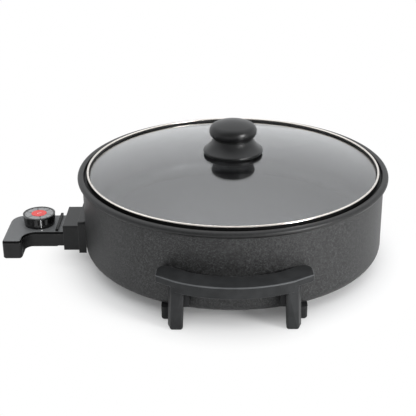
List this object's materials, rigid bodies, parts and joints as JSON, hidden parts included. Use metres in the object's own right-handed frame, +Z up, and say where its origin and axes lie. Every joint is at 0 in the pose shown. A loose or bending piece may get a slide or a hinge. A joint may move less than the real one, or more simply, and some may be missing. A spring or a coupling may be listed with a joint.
{
  "type": "electric skillet",
  "caption": "Round electric skillet with a domed glass lift-off lid, bow handles on legs, an under-floor heating ring and a plug-in thermostat with a dial and heat probe.",
  "frame": {"origin": "middle of the whole part's box, on the table under the feet; the pan's own axis stands 45.75 mm towards +X", "axes": "+Z up, -X towards the thermostat plug, -Y towards the user (front handle)"},
  "size_m": [0.4724, 0.445, 0.1793],
  "materials": {
    "pan_coating": "speckled dark non-stick coating",
    "heater_steel": "dull",
    "bright_steel": "plated",
    "ring_steel": "polished",
    "brass": "plain",
    "ceramic": "unglazed ceramic",
    "socket_moulding": "satin",
    "handle_moulding": "fine grain",
    "lid_glass": "clear",
    "seal_rubber": "matte",
    "knob_moulding": "satin",
    "plug_moulding": "fine grain",
    "dial_plastic": "gloss",
    "dial_scale": "silver print",
    "dial_red": "gloss"
  },
  "bodies": {
    "pan": {"pan_body": "pan_coating", "heating_element": "heater_steel", "terminal_pins": "bright_steel", "terminal_bushes": "ceramic", "socket_flange": "socket_moulding", "socket_shroud": "socket_moulding", "socket_screws": "bright_steel", "front_handle": "handle_moulding", "rear_handle": "handle_moulding", "handle_screws": "bright_steel"},
    "lid": {"lid_glass": "lid_glass", "edge_gasket": "seal_rubber", "lid_ring": "ring_steel", "lid_seal": "seal_rubber", "lid_washer": "bright_steel", "knob_gasket": "seal_rubber", "knob_base": "knob_moulding", "knob_grip": "knob_moulding", "knob_insert": "brass", "knob_screw": "bright_steel"},
    "plug": {"plug_body": "plug_moulding", "plug_cover": "plug_moulding", "cover_screws": "bright_steel", "probe_rod": "bright_steel", "contact_sleeves": "brass", "thermostat_bracket": "heater_steel", "spindle_bush": "brass", "contact_stack": "ceramic", "contact_blades": "brass"},
    "dial": {"dial_knob": "dial_plastic", "dial_face": "dial_scale", "dial_cap": "dial_red", "dial_spindle": "bright_steel"}
  },
  "joints": [
    {"name": "lid_lift", "type": "slide", "parent": "pan", "child": "lid", "axis": [0, 0, 1], "range_m": [0, 0.15]},
    {"name": "plug_pull", "type": "slide", "parent": "pan", "child": "plug", "axis": [-1, 0, 0], "range_m": [0, 0.11]},
    {"name": "dial_turn", "type": "hinge", "parent": "plug", "child": "dial", "pos_m": [-0.19825, 0, 0.0501], "axis": [0, 0, -1], "range_deg": [0, 300]}
  ]
}
